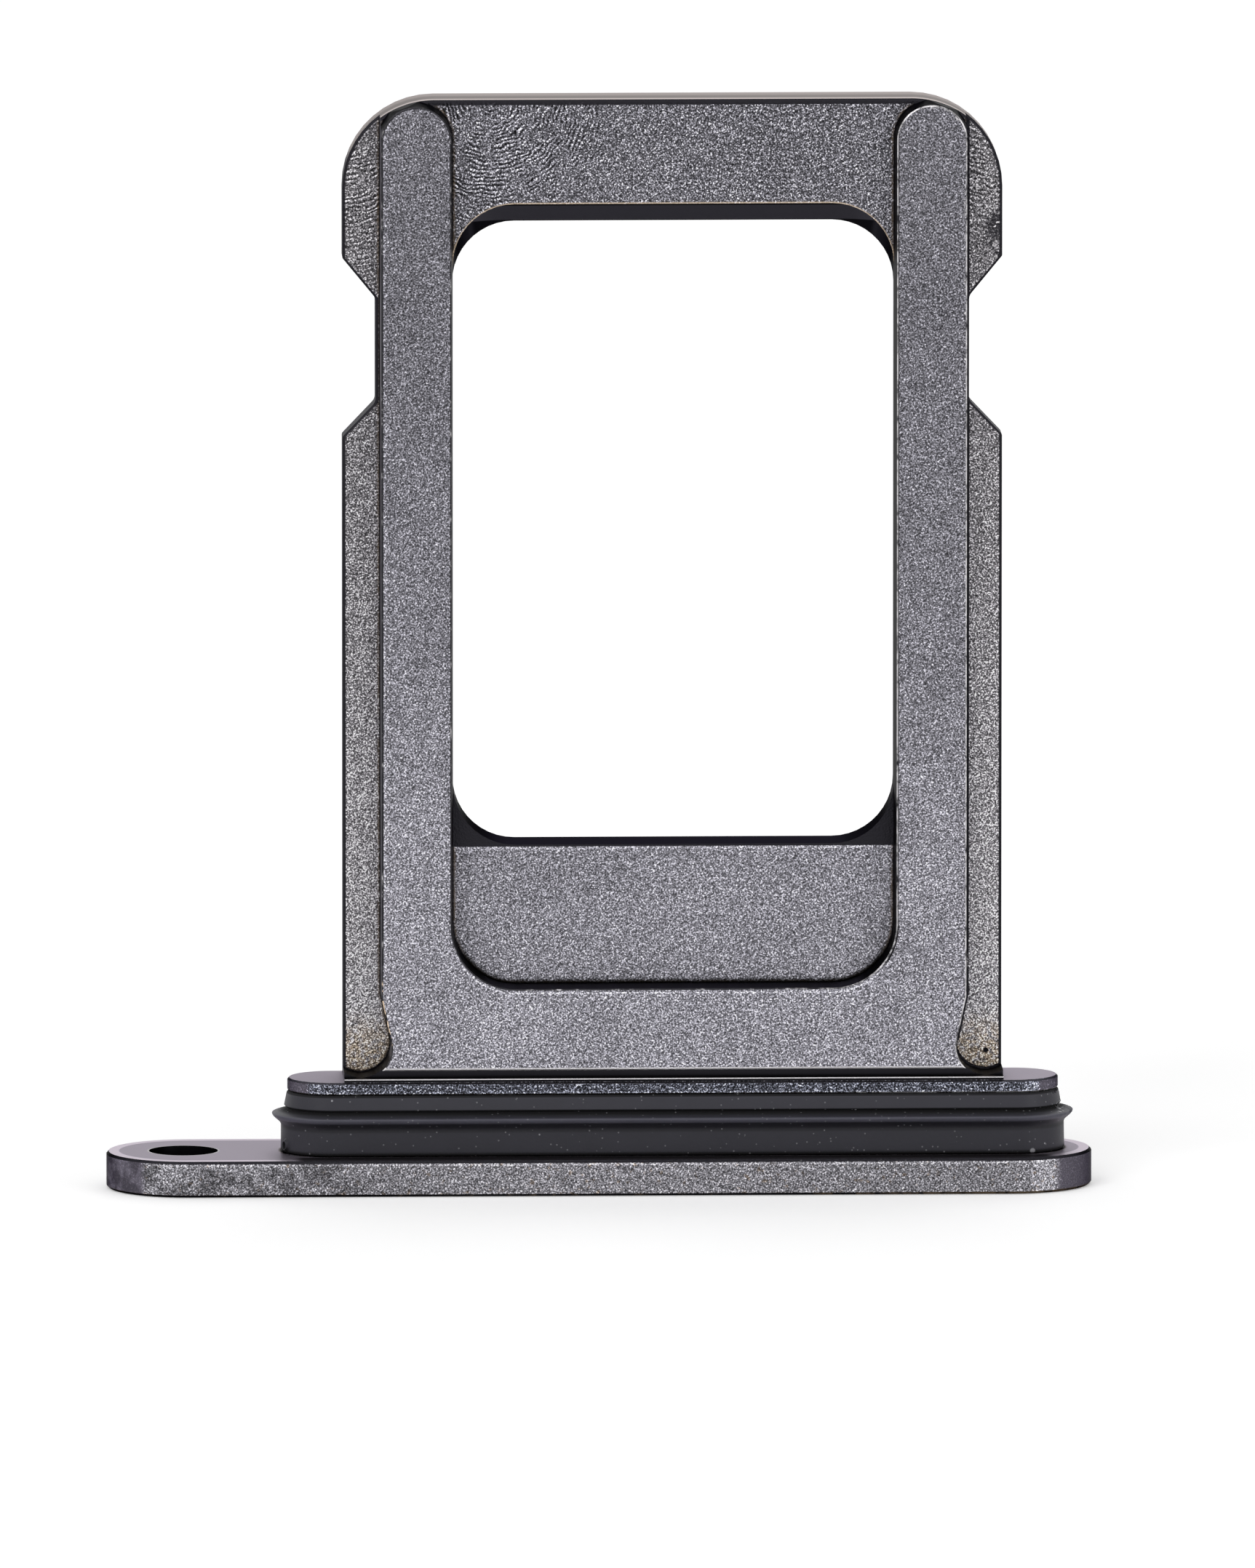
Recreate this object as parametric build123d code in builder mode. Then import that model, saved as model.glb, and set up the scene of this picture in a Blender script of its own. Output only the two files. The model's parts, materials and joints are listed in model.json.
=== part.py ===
from build123d import *
from math import acos, atan2, cos, degrees, radians, sin, tan
import os

os.makedirs("parts", exist_ok=True)

# A tray for one nano SIM card: a single machined piece of steel with a rubber seal ring round its neck.
# X runs along the face plate and the eject hole is near its -X end. The side towards -Y is the open side
# that the phone's contacts press through, and the card lies in a pocket on the +Y side. Z runs up from
# the outer face of the face plate, the way the tray goes into the phone. All sizes are in millimetres.

# Face plate: a slab with fully round ends
plate_len = 15.7
plate_depth = 2.59
plate_t = 0.575
plate_edge = 0.04

# Eject hole: a straight bore with a chamfered mouth on the outer face
eject_from_end = 1.23
eject_d = 1.10
eject_chamfer = 0.105

# Card and its pocket
sim_w = 8.8
sim_len = 12.3
sim_corner_r = 1.0
sim_cut = 1.65
sim_side_gap = 0.065
sim_end_gap = 0.075
pocket_depth = 0.70
pocket_cut_r = 0.25

# Blade: its offset from the middle of the face plate, its walls and its corners
blade_x = 1.174
land_wall = 0.185
rail_w = 0.595
rail_t = 0.55
floor_t = 0.28
land_h = 0.45
root_len = 2.555
tip_wall = 0.675
blade_corner_r = 1.45
tip_chamfer = 0.04

# Raised land on the open side: two strips with round tips and the channel between them
strip_w = 1.11
strip_tip_drop = 0.06
wall_draft = 4.5
channel_corner_r = 1.02
tongue_len = 2.35

# Window through the floor of the channel, with a ramp at its upper edge for the contact springs
end_ledge = 1.285
window_corner_r = 0.98
window_ramp = 0.295
window_low_draft = 0.085

# Spring notches in both rails
notch_from_tip = 2.57
notch_span = 2.86
notch_depth = 0.525
notch_ramp_low = 0.55
notch_ramp_high = 0.64
notch_inner_r = 0.16
notch_outer_r = 0.06

# Round lower ends of the rails and the relief cut above the flange
rail_end_r = 0.486
rail_end_out = 0.326
flare_len = 0.80
sill_h = 0.057
relief_h = 0.131
relief_depth = 0.21

# Flange and neck that hold the seal
flange_over = 0.895
flange_t = 0.20
flange_edge = 0.03
neck_h = 0.975
neck_inset = 0.38

# Edges that the blasting has broken: on the land and under the flange, on the rails, and on the blade's back
land_break = 0.02
rail_break = 0.03
back_break = 0.03

# Seal ring: how far each part of its outline stands out past the flange, and how high it lies
seal_gap = 0.01
band_out = 0.108
band_foot_in = 0.05
band_foot_h = 0.05
band_h = 0.40
ridge_out = 0.25
ridge_h = 0.621
ridge_r = 0.085
waist_out = 0.045
waist_h = 0.835
lip_out = 0.07
lip_h = 0.06

# Sizes that follow from the ones above
pocket_w = sim_w + 2 * sim_side_gap
pocket_len = sim_len + 2 * sim_end_gap
land_w = pocket_w + 2 * land_wall
blade_w = land_w + 2 * rail_w
blade_t = pocket_depth + floor_t + land_h
channel_w = land_w - 2 * strip_w
window_w = channel_w - 2 * land_h * tan(radians(wall_draft))
flange_w = blade_w + 2 * flange_over

flange_z = plate_t + neck_h
flange_top = flange_z + flange_t
pocket_low = flange_top + root_len
pocket_top = pocket_low + pocket_len
blade_top = pocket_top + tip_wall
window_low = pocket_low + end_ledge
window_top = pocket_top - end_ledge
channel_low = window_low - tongue_len
strip_top = blade_top - strip_tip_drop
notch_high = blade_top - notch_from_tip
notch_low = notch_high - notch_span
sill_z = flange_top + sill_h

back_y = blade_t / 2
front_y = -blade_t / 2
channel_y = front_y + land_h
rail_y = back_y - rail_t
pocket_y = back_y - pocket_depth
eject_x = -plate_len / 2 + eject_from_end

# How far cutting outlines run past the metal that they cut
past = 1.0

# How near to a stated place an edge must lie to be picked there
near = 0.001


def face_plane(y):
    """A plane across the blade at this y, drawn as it is seen from -Y: x to the right and z up."""
    return Plane(origin=(blade_x, y, 0), x_dir=(1, 0, 0), z_dir=(0, -1, 0))


def level_edges(y):
    """The blade's edges that lie at this y, above the flange."""
    level = edges().filter_by_position(Axis.Y, y - near, y + near)
    return level.filter_by_position(Axis.Z, flange_top + near, blade_top + near)


def from_middle(edge):
    """How far an edge's middle lies from the blade's middle line."""
    return abs(edge.center().X - blade_x)


def is_arc(edge, radius):
    """Whether an edge is part of a circle of this radius."""
    return edge.geom_type == GeomType.CIRCLE and abs(edge.radius - radius) < near


with BuildPart() as tray:
    # Face plate, with its edges broken all round
    with BuildSketch(Plane.XY):
        SlotOverall(plate_len, plate_depth)
    extrude(amount=plate_t)
    chamfer(faces().filter_by(Axis.Z).edges(), plate_edge)

    # Neck inside the seal
    with BuildSketch(Plane.XY.offset(plate_t)):
        with Locations((blade_x, 0)):
            SlotOverall(flange_w - 2 * neck_inset, blade_t - 2 * neck_inset)
    extrude(amount=neck_h)

    # Flange above the seal
    with BuildSketch(Plane.XY.offset(flange_z)):
        with Locations((blade_x, 0)):
            SlotOverall(flange_w, blade_t)
    extrude(amount=flange_t)
    chamfer(faces().sort_by(Axis.Z)[-1].edges(), flange_edge)

    # Blade outline with round top corners and a spring notch in each side
    with BuildSketch(face_plane(back_y)):
        with BuildLine():
            half = blade_w / 2
            Line((0, flange_top), (half, flange_top))
            FilletPolyline(
                (half, flange_top),
                (half, notch_low),
                (half - notch_depth, notch_low + notch_ramp_low),
                (half - notch_depth, notch_high - notch_ramp_high),
                (half, notch_high),
                (half, blade_top),
                (0, blade_top),
                radius=[notch_outer_r, notch_inner_r, notch_inner_r, notch_outer_r, blade_corner_r],
            )
            mirror(about=Plane.YZ)
        make_face()
    extrude(amount=blade_t)

    # Channel between the strips, open at the tip of the blade, with slightly sloped walls
    with BuildSketch(face_plane(front_y)):
        with BuildLine():
            edge = channel_w / 2
            tip_r = strip_w / 2
            tip_z = strip_top - tip_r
            Line((0, channel_low), (edge - channel_corner_r, channel_low))
            CenterArc((edge - channel_corner_r, channel_low + channel_corner_r), channel_corner_r, -90, 90)
            Line((edge, channel_low + channel_corner_r), (edge, tip_z))
            CenterArc((edge + tip_r, tip_z), tip_r, 180, -180)
            Polyline(
                (land_w / 2, tip_z),
                (blade_w / 2 + past, tip_z),
                (blade_w / 2 + past, blade_top + past),
                (0, blade_top + past),
            )
            mirror(about=Plane.YZ)
        make_face()
    extrude(amount=-land_h, taper=wall_draft, mode=Mode.SUBTRACT)

    # Rails: the sides milled down, each ending in a round pocket that flares into the land
    with BuildSketch(face_plane(front_y)):
        with BuildLine():
            side = land_w / 2
            end_x = side + rail_end_out
            end_z = sill_z + rail_end_r
            flare_z = end_z + flare_len
            lean = atan2(flare_len, -rail_end_out) + acos(rail_end_r / (flare_len**2 + rail_end_out**2) ** 0.5)
            touch = (end_x + rail_end_r * cos(lean), end_z + rail_end_r * sin(lean))
            outer = end_x + rail_end_r
            Polyline((outer, end_z), (outer, blade_top + past), (side, blade_top + past), (side, flare_z), touch)
            CenterArc((end_x, end_z), rail_end_r, degrees(lean), 360 - degrees(lean))
        make_face()
        mirror(about=Plane.YZ)
    extrude(amount=front_y - rail_y, mode=Mode.SUBTRACT)

    # Window, from the channel's floor to the pocket's floor, wider towards the tip on the channel side
    with BuildSketch(face_plane(channel_y)):
        low, high = window_low - window_low_draft, window_top + window_ramp
        with Locations((0, (low + high) / 2)):
            RectangleRounded(window_w, high - low, window_corner_r)
    with BuildSketch(face_plane(pocket_y)):
        with Locations((0, (window_low + window_top) / 2)):
            RectangleRounded(window_w, window_top - window_low, window_corner_r)
    loft(mode=Mode.SUBTRACT)

    # Card pocket on the back, with the card's cut corner
    with BuildSketch(face_plane(back_y)):
        with BuildLine():
            w = pocket_w / 2
            FilletPolyline(
                (w, pocket_low),
                (w, pocket_top),
                (-w + sim_cut, pocket_top),
                (-w, pocket_top - sim_cut),
                (-w, pocket_low),
                radius=[sim_corner_r, sim_corner_r, pocket_cut_r, pocket_cut_r, sim_corner_r],
                close=True,
            )
        make_face()
    extrude(amount=pocket_depth, mode=Mode.SUBTRACT)

    # Relief cut across the foot of the land
    with BuildSketch(face_plane(front_y)):
        with Locations((0, sill_z)):
            Rectangle(blade_w + 2 * past, relief_h, align=(Align.CENTER, Align.MIN))
    extrude(amount=-relief_depth, mode=Mode.SUBTRACT)

    # Edges of the land, its outer side and foot before its channel and tips
    land = level_edges(front_y)
    foot = land.filter_by_position(Axis.Z, sill_z + relief_h - near, sill_z + relief_h + near)
    sides = land.filter_by_position(Axis.Z, sill_z + relief_h + near, tip_z)
    chamfer(foot + sides.filter_by(lambda e: from_middle(e) > (land_w - rail_end_r) / 2), land_break)
    land = level_edges(front_y).filter_by_position(Axis.Z, channel_low - near, blade_top)
    chamfer(land.filter_by(lambda e: from_middle(e) < (land_w + channel_w) / 4 + near), land_break)

    # Outer edges of the rails, with the notches
    rails = level_edges(rail_y).filter_by(lambda e: from_middle(e) > blade_w / 2 - notch_depth - near)
    chamfer(rails.filter_by(lambda e: not is_arc(e, rail_end_r)), rail_break)

    # Tip of the blade, where the springs first ride up
    tip = level_edges(channel_y)
    top_line = tip.filter_by_position(Axis.Z, blade_top - near, blade_top + near)
    chamfer(top_line + tip.filter_by(lambda e: is_arc(e, blade_corner_r)), tip_chamfer)

    # Back of the blade, with the pocket's rim, and the flange's lower edge
    chamfer(level_edges(back_y), back_break)
    under = edges().filter_by_position(Axis.Z, flange_z - near, flange_z + near)
    chamfer(under.filter_by(lambda e: abs(e.center().Y) > blade_t / 2 - near or is_arc(e, blade_t / 2)), land_break)

    # Eject hole
    with BuildSketch(Plane.XY):
        with Locations((eject_x, 0)):
            Circle(eject_d / 2)
    extrude(amount=plate_t, mode=Mode.SUBTRACT)
    mouth = edges().filter_by_position(Axis.Z, -near, near)
    chamfer(mouth.filter_by(lambda e: is_arc(e, eject_d / 2)), eject_chamfer)

tray.part.label = "tray"
export_step(tray.part, "parts/tray.step")

# Seal ring: one outline carried round the neck
with BuildPart() as seal:
    rim = blade_t / 2
    end_x = flange_w / 2 - rim
    ridge_z = plate_t + ridge_h
    with BuildSketch(Plane(origin=(blade_x - end_x, 0, 0), x_dir=(0, 1, 0), z_dir=(1, 0, 0))) as ring:
        with BuildLine():
            inner = rim - neck_inset + seal_gap
            foot = Polyline(
                (rim + waist_out, flange_z),
                (inner, flange_z),
                (inner, plate_t),
                (rim + band_out - band_foot_in, plate_t),
                (rim + band_out, plate_t + band_foot_h),
                (rim + band_out, plate_t + band_h),
            )
            nose = CenterArc((rim + ridge_out - ridge_r, ridge_z), ridge_r, -40, 80)
            Spline(foot @ 1, nose @ 0, tangents=((0, 1), nose % 0))
            neck_in = (rim + waist_out, plate_t + waist_h)
            Spline(nose @ 1, neck_in, tangents=(nose % 1, (0, 1)))
            ThreePointArc(neck_in, (rim + lip_out, flange_z - lip_h), (rim + waist_out, flange_z))
        make_face()
    extrude(amount=2 * end_x)
    mirror(about=Plane.XZ)
    revolve(ring.sketch, axis=Axis((blade_x - end_x, 0, 0), (0, 0, 1)), revolution_arc=180)
    mirror(about=Plane.YZ.offset(blade_x))

seal.part.label = "seal"
export_step(seal.part, "parts/seal.step")
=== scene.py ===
"""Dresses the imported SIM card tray: steel finishes, a rubber seal ring, and light and camera for a picture."""

import json
import math
from functools import partial
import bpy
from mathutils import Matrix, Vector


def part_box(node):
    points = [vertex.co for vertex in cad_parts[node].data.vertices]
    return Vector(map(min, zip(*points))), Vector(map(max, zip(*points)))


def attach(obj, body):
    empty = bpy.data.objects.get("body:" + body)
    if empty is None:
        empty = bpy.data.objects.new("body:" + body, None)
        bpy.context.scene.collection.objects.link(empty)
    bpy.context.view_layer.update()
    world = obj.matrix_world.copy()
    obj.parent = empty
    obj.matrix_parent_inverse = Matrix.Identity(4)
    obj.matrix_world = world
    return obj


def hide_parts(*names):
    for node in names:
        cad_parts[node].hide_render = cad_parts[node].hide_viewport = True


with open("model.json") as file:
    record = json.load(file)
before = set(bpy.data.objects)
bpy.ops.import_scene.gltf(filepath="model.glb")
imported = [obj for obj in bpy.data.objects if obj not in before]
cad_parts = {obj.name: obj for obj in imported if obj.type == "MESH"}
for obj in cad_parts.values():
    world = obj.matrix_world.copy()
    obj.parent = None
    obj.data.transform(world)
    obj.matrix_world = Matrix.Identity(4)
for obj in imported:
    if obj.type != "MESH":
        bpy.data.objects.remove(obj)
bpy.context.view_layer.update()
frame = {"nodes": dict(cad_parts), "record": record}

from types import SimpleNamespace

import bpy
import numpy as np
from mathutils import Vector

bl_info = {
    "name": "SIM Card Tray",
    "version": (1, 0, 0),
    "blender": (4, 5, 0),
    "location": "View3D > Sidebar > Card Tray",
    "description": "Finishes a nano SIM card tray, makes its seal ring and lights it for a picture",
    "category": "Object",
}

MM = 0.001
MOUNTS = {m["name"]: Vector(m["pos_m"]) for m in frame["record"]["mounts"]}
TRAY_LOW, TRAY_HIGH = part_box("tray")
SEAL_LOW, SEAL_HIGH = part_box("seal")


# Settings that a user would change. Lengths are in metres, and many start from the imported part.


def a_length(name, description, default):
    return bpy.props.FloatProperty(name=name, description=description, default=default, unit="LENGTH")


def an_angle(name, description, default):
    return bpy.props.FloatProperty(name=name, description=description, default=default, subtype="ANGLE")


def a_colour(name, description, default):
    return bpy.props.FloatVectorProperty(
        name=name, description=description, default=default, subtype="COLOR", min=0.0, max=1.0
    )


class TraySizes(bpy.types.PropertyGroup):
    """Where the tray's surfaces lie, for the finishes that follow them."""

    plate_top: a_length("Plate top", "Height of the face plate's inner side above its outer face", SEAL_LOW.z)
    flange_low: a_length("Flange underside", "Height of the flange's lower side, where the seal ends", SEAL_HIGH.z)
    flange_thick: a_length("Flange thickness", "Thickness of the flange above the seal", 0.20 * MM)
    blade_middle: a_length(
        "Blade middle",
        "Distance of the blade's middle from the middle of the face plate",
        (MOUNTS["left_rail"].x + MOUNTS["right_rail"].x) / 2,
    )
    blade_thick: a_length("Blade thickness", "Thickness of the blade from the raised land to its back", 1.43 * MM)
    blade_top: a_length("Blade tip", "Height of the blade's tip above the outer face", TRAY_HIGH.z)
    rail_face: a_length("Rail face", "Depth of the milled rails", MOUNTS["left_rail"].y)
    channel_face: a_length(
        "Channel face", "Depth of the floor of the channel between the strips", MOUNTS["card_ledge"].y - 0.28 * MM
    )


class SteelFinish(bpy.types.PropertyGroup):
    """Colours and grain of the machined steel."""

    body_colour: a_colour(
        "Blasted steel", "Colour of the bead-blasted faces near the foot of the blade", (0.272, 0.266, 0.300)
    )
    rail_colour: a_colour("Milled steel", "Colour of the milled rails", (0.335, 0.322, 0.342))
    # Near-black painted shade for the walls, the ramp, the relief groove, the dark broken edges and lines, the
    # deepest corners and the eject hole's inside; also the colour of the chips and black spots
    shade_and_mark_colour: a_colour("Walls", "Colour of the smooth dark walls between the faces", (0.026, 0.025, 0.030))
    # The upward faces are lighter than the blasted steel partly as painted light from above; the lavender is their
    # finish
    top_colour: a_colour(
        "Upward faces",
        "Colour of the smooth faces that look up, on the plate and the flange",
        (0.535, 0.487, 0.560),
    )
    # Painted light: the blade's end faces up towards the lamps, so it is given this light colour
    tip_colour: a_colour("Blade tip", "Colour of the smooth end of the blade", (0.70, 0.63, 0.61))
    side_colour: a_colour("Plate side", "Colour of the blasted side of the face plate", (0.213, 0.208, 0.227))
    flange_colour: a_colour("Flange side", "Colour of the dark blasted side of the flange", (0.068, 0.071, 0.088))
    end_colour: a_colour(
        "Round ends", "Colour of the smooth round ends of the plate and the flange", (0.118, 0.108, 0.135)
    )
    outer_colour: a_colour("Outer face", "Colour of the satin outer face of the plate", (0.445, 0.440, 0.452))
    # Bare steel where edges and chips are rubbed, the pale ring in the eject hole, and also the colour of the
    # painted highlight lines along the blade's foot and the sill
    wear_and_highlight_colour: a_colour("Worn edges", "Colour of bare steel along worn edges", (0.74, 0.72, 0.74))
    # Laid in patches in the inner corners that the occlusion test finds, and as specks on the plate's side and
    # along its lower edge
    tint_colour: a_colour(
        "Corner tint", "Brown tint in the inner corners, where the blasting doesn't reach", (0.150, 0.112, 0.078)
    )
    # Also the gold of the painted highlight along the window's top
    gold_colour: a_colour("Gold tint", "Gold tint at the round lower ends of the rails", (0.42, 0.335, 0.25))
    # Painted shade: how far the blasted steel is darkened at the tip, against 1 near the foot
    tip_shade: bpy.props.FloatProperty(
        name="Darker tip",
        description="How bright the blasted steel is at the tip, against 1 near the foot",
        default=0.565,
        subtype="FACTOR",
        min=0.0,
        max=1.0,
    )
    grain_size: a_length("Grain size", "Size of one dimple of the blasted surface", 0.0255 * MM)
    mill_pitch: a_length("Mill mark spacing", "Distance between the rings that the cutter left", 0.074 * MM)


class SealSettings(bpy.types.PropertyGroup):
    """Shape and colour of the seal ring. Depths are measured inwards from the crest of its ridge."""

    band_in: a_length("Lower band", "How far the lower band lies inside the ridge's crest", 0.142 * MM)
    waist_in: a_length("Upper band", "How far the foot of the upper band lies inside the ridge's crest", 0.165 * MM)
    taper: a_length(
        "Upper taper", "How much further in the upper band lies at its top than at its foot", 0.080 * MM
    )
    hole_in: a_length("Inner wall", "How far the inner wall lies inside the ridge's crest", 0.620 * MM)
    ridge_height: a_length("Ridge height", "Height of the ridge's crest above the plate", 0.605 * MM)
    ridge_below: a_length("Ridge foot", "Height of the slope below the crest", 0.200 * MM)
    ridge_above: a_length("Ridge shoulder", "Height of the slope above the crest", 0.080 * MM)
    groove_depth: a_length(
        "Groove depth", "Depth of the narrow groove between the upper band and the ridge", 0.055 * MM
    )
    groove_rise: a_length("Groove height", "How far the groove lies above the ridge's crest", 0.085 * MM)
    foot_round: a_length("Rounding", "Radius of the rounded upper and lower edges", 0.05 * MM)
    nub_turn: an_angle(
        "Moulding nub place", "Turn of the nub about the ring's left end, from straight right", math.radians(205)
    )
    nub_size: a_length(
        "Moulding nub", "Radius of the small round mark that the mould left at the lower left", 0.070 * MM
    )
    colour: a_colour("Rubber", "Colour of the rubber", (0.024, 0.0235, 0.0305))
    dust_colour: a_colour("Dust", "Colour of the dust and lint on the rubber", (0.36, 0.36, 0.38))


class StageSettings(bpy.types.PropertyGroup):
    """Camera, lamps and floor."""

    azimuth: an_angle(
        "Camera azimuth", "Turn of the camera about the upright, to the right of the open side", math.radians(-1.9)
    )
    elevation: an_angle("Camera elevation", "Angle of the camera above level", math.radians(7.7))
    distance: a_length("Camera distance", "Distance from the camera to the tray", 600 * MM)
    view_height: a_length("Picture height", "Height of the picture, measured at the tray", 24.955 * MM)
    aim_x: a_length("Aim across", "Where the middle of the picture lies along the plate", 0.455 * MM)
    aim_z: a_length("Aim height", "Height of the middle of the picture", 6.435 * MM)
    floor_colour: a_colour("Floor", "Colour of the floor", (0.88, 0.88, 0.88))


# Small helpers for node trees


class Wiring:
    """Adds nodes to one node tree and joins them.

    A value may be a number, a colour or another node's socket.
    """

    def __init__(self, tree):
        self.tree = tree

    def feed(self, socket, value):
        if isinstance(value, bpy.types.NodeSocket):
            self.tree.links.new(value, socket)
        else:
            socket.default_value = value

    def put(self, kind, inputs, **settings):
        """The outputs of a new node, with values or sockets fed to its inputs."""
        node = self.tree.nodes.new("ShaderNode" + kind)
        for name, value in settings.items():
            setattr(node, name, value)
        for name, value in inputs.items():
            self.feed(node.inputs[name], value)
        return node.outputs

    def math(self, operation, *values):
        return self.put("Math", dict(enumerate(values)), operation=operation)[0]

    def plus(self, first, second):
        return self.math("ADD", first, second)

    def minus(self, first, second):
        return self.math("SUBTRACT", first, second)

    def times(self, *factors):
        product = factors[0]
        for factor in factors[1:]:
            product = self.math("MULTIPLY", product, factor)
        return product

    def largest(self, *values):
        most = values[0]
        for value in values[1:]:
            most = self.math("MAXIMUM", most, value)
        return most

    def invert(self, value):
        return self.minus(1.0, value)

    def length(self, first, second):
        return self.math("SQRT", self.plus(self.times(first, first), self.times(second, second)))

    def past(self, value, start):
        """How far value lies past start, and 0 before it."""
        return self.largest(self.minus(value, start), 0.0)

    def step(self, value, start, end, shape="SMOOTHSTEP"):
        """0 below start and 1 above end, with a smooth rise between. Start may lie above end."""
        inputs = {"Value": value, "From Min": start, "From Max": end}
        return self.put("MapRange", inputs, interpolation_type=shape, clamp=True)["Result"]

    def ramp(self, value, start, end):
        """As step, but in a straight line between start and end."""
        return self.step(value, start, end, "LINEAR")

    def near(self, value, place, reach=0.06):
        """1 where value is at place, falling to 0 at reach on both sides."""
        return self.step(self.math("ABSOLUTE", self.minus(value, place)), reach, reach / 2)

    def window(self, value, start, end, soft=0.02):
        """1 from start to end, with a smooth rise before and after."""
        return self.times(self.step(value, start - soft, start), self.step(value, end + soft, end))

    def spot(self, across, up, place, radius):
        """1 in a round spot at a place, which is given as its two coordinates."""
        off = self.length(self.minus(across, place[0]), self.minus(up, place[1]))
        return self.step(off, radius, radius * 0.6)

    def scaled(self, colour, factor):
        """A colour or place times a value that may change over the surface."""
        return self.put("VectorMath", {0: colour, "Scale": factor}, operation="SCALE")[0]

    def blend_value(self, factor, first, second, kind="FLOAT"):
        return self.put("Mix", {"Factor": factor, "A": first, "B": second}, data_type=kind)["Result"]

    def blend(self, factor, first, second):
        return self.blend_value(factor, colour_of(first), colour_of(second), "RGBA")

    def passage(self, value, start, end, first, second):
        """First up to start and second from end on, with a smooth passage between."""
        return self.blend_value(self.step(value, start, end), first, second)

    def parts(self, vector):
        return self.put("SeparateXYZ", {0: vector})

    def noise(self, position, scale, detail=2.0, roughness=0.5):
        inputs = {"Vector": position, "Scale": scale, "Detail": detail, "Roughness": roughness}
        return self.put("TexNoise", inputs)["Fac"]

    def cells(self, position, scale):
        return self.put("TexVoronoi", {"Vector": position, "Scale": scale}, feature="F1")

    def shelter(self, distance):
        """1 in the open, and less where other surfaces stand nearer than distance."""
        return self.put("AmbientOcclusion", {"Distance": distance}, samples=8)["AO"]

    def bumped(self, height, strength, distance):
        """The surface's direction with a height pattern on it."""
        return self.put("Bump", {"Strength": strength, "Distance": distance, "Height": height})["Normal"]

    def group(self, tree, **values):
        inputs = {name.replace("_", " ").capitalize(): value for name, value in values.items()}
        return self.put("Group", inputs, node_tree=tree)


def colour_of(value):
    """A colour socket as it is, or a colour setting with its alpha."""
    return value if isinstance(value, bpy.types.NodeSocket) else (*value, 1.0)


def scaled_colour(colour, factor):
    """A colour made lighter or darker."""
    return tuple(min(part * factor, 1.0) for part in colour)


def new_group(name, numbers, results):
    """A node group that takes a position and numbers and gives results: its wiring and its two ends."""
    tree = bpy.data.node_groups.new(name, "ShaderNodeTree")
    tree.interface.new_socket(name="Position", in_out="INPUT", socket_type="NodeSocketVector")
    for way, labels in (("INPUT", numbers), ("OUTPUT", results)):
        for label in labels:
            tree.interface.new_socket(name=label, in_out=way, socket_type="NodeSocketFloat")
    given, out = tree.nodes.new("NodeGroupInput").outputs, tree.nodes.new("NodeGroupOutput").inputs
    return Wiring(tree), given, out


def blasted_grain():
    """Bead-blasted steel: fine dimples, with flecks where their rims are bright and pits where they are dark.

    The pattern is turned against the part, so that no flat face lies along the lattice of its noise.
    Fleck multiplies a colour: it is e to the power of contrast times a noise that is centred on 0.
    """
    w, given, out = new_group("Blasted grain", ("Size", "Contrast"), ("Height", "Fleck"))
    scale = w.math("DIVIDE", 1.0, given["Size"])
    turned = w.put("Mapping", {0: given["Position"], "Rotation": (0.6, 0.4, 0.5)}, vector_type="POINT")[0]
    fine = w.noise(turned, scale, 1.0, 0.6)
    broad = w.noise(turned, w.times(scale, 0.30), 2.0, 0.6)
    mixed = w.minus(w.blend_value(0.07, fine, broad), 0.5)
    w.feed(out["Fleck"], w.math("POWER", math.e, w.times(mixed, given["Contrast"])))
    dimples = w.cells(turned, w.times(scale, 0.8))["Distance"]
    w.feed(out["Height"], w.plus(fine, dimples))
    return w.tree


def mill_rings():
    """Rings that an end mill left round a centre, from -0.5 to 0.5, uneven, fading out at their reach.

    The ripple is the sine of the distance from the centre in pitches, moved a little by a noise.
    """
    w, given, out = new_group("Mill rings", ("Centre x", "Centre z", "Pitch", "Reach"), ("Ripple",))
    place = w.parts(given["Position"])
    radius = w.length(w.minus(place["X"], given["Centre x"]), w.minus(place["Z"], given["Centre z"]))
    wander = w.times(w.noise(given["Position"], 5.0, 2.0), given["Pitch"], 2.2)
    turns = w.math("DIVIDE", w.plus(radius, wander), given["Pitch"])
    wave = w.times(w.math("SINE", w.times(turns, 2 * math.pi)), 0.5)
    patches = w.step(w.noise(given["Position"], 3.0, 2.0), 0.36, 0.56)
    fade = w.step(radius, given["Reach"], w.times(given["Reach"], 0.6))
    w.feed(out["Ripple"], w.times(wave, patches, fade))
    return w.tree


def worn_edge():
    """Bare metal along an edge: thick here and thin there."""
    w, given, out = new_group("Worn edge", ("Cover",), ("Wear",))
    patchy = w.noise(given["Position"], 5.0, 4.0, 0.7)
    low = w.minus(0.8, given["Cover"])
    w.feed(out["Wear"], w.step(patchy, low, w.plus(low, 0.25)))
    return w.tree


def dust_specks():
    """Pale specks, one in the middle of a few cells of an uneven lattice."""
    w, given, out = new_group("Dust specks", ("Scale", "Size", "Share"), ("Specks",))
    cells = w.cells(given["Position"], given["Scale"])
    spot = w.step(cells["Distance"], given["Size"], w.times(given["Size"], 0.4))
    pick = w.put("SeparateColor", {0: cells["Color"]})["Red"]
    w.feed(out["Specks"], w.times(spot, w.math("LESS_THAN", pick, given["Share"])))
    return w.tree


SHARED = {}


def shared_group(make):
    """The node group that a function makes, made once and then found by its function's name."""
    if make.__name__ not in SHARED:
        SHARED[make.__name__] = make()
    return SHARED[make.__name__]


def new_material(name):
    """An empty node material with its shader, and its wiring."""
    material = bpy.data.materials.new(name)
    material.use_nodes = True
    shader = material.node_tree.nodes["Principled BSDF"]
    return material, Wiring(material.node_tree), shader


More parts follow.
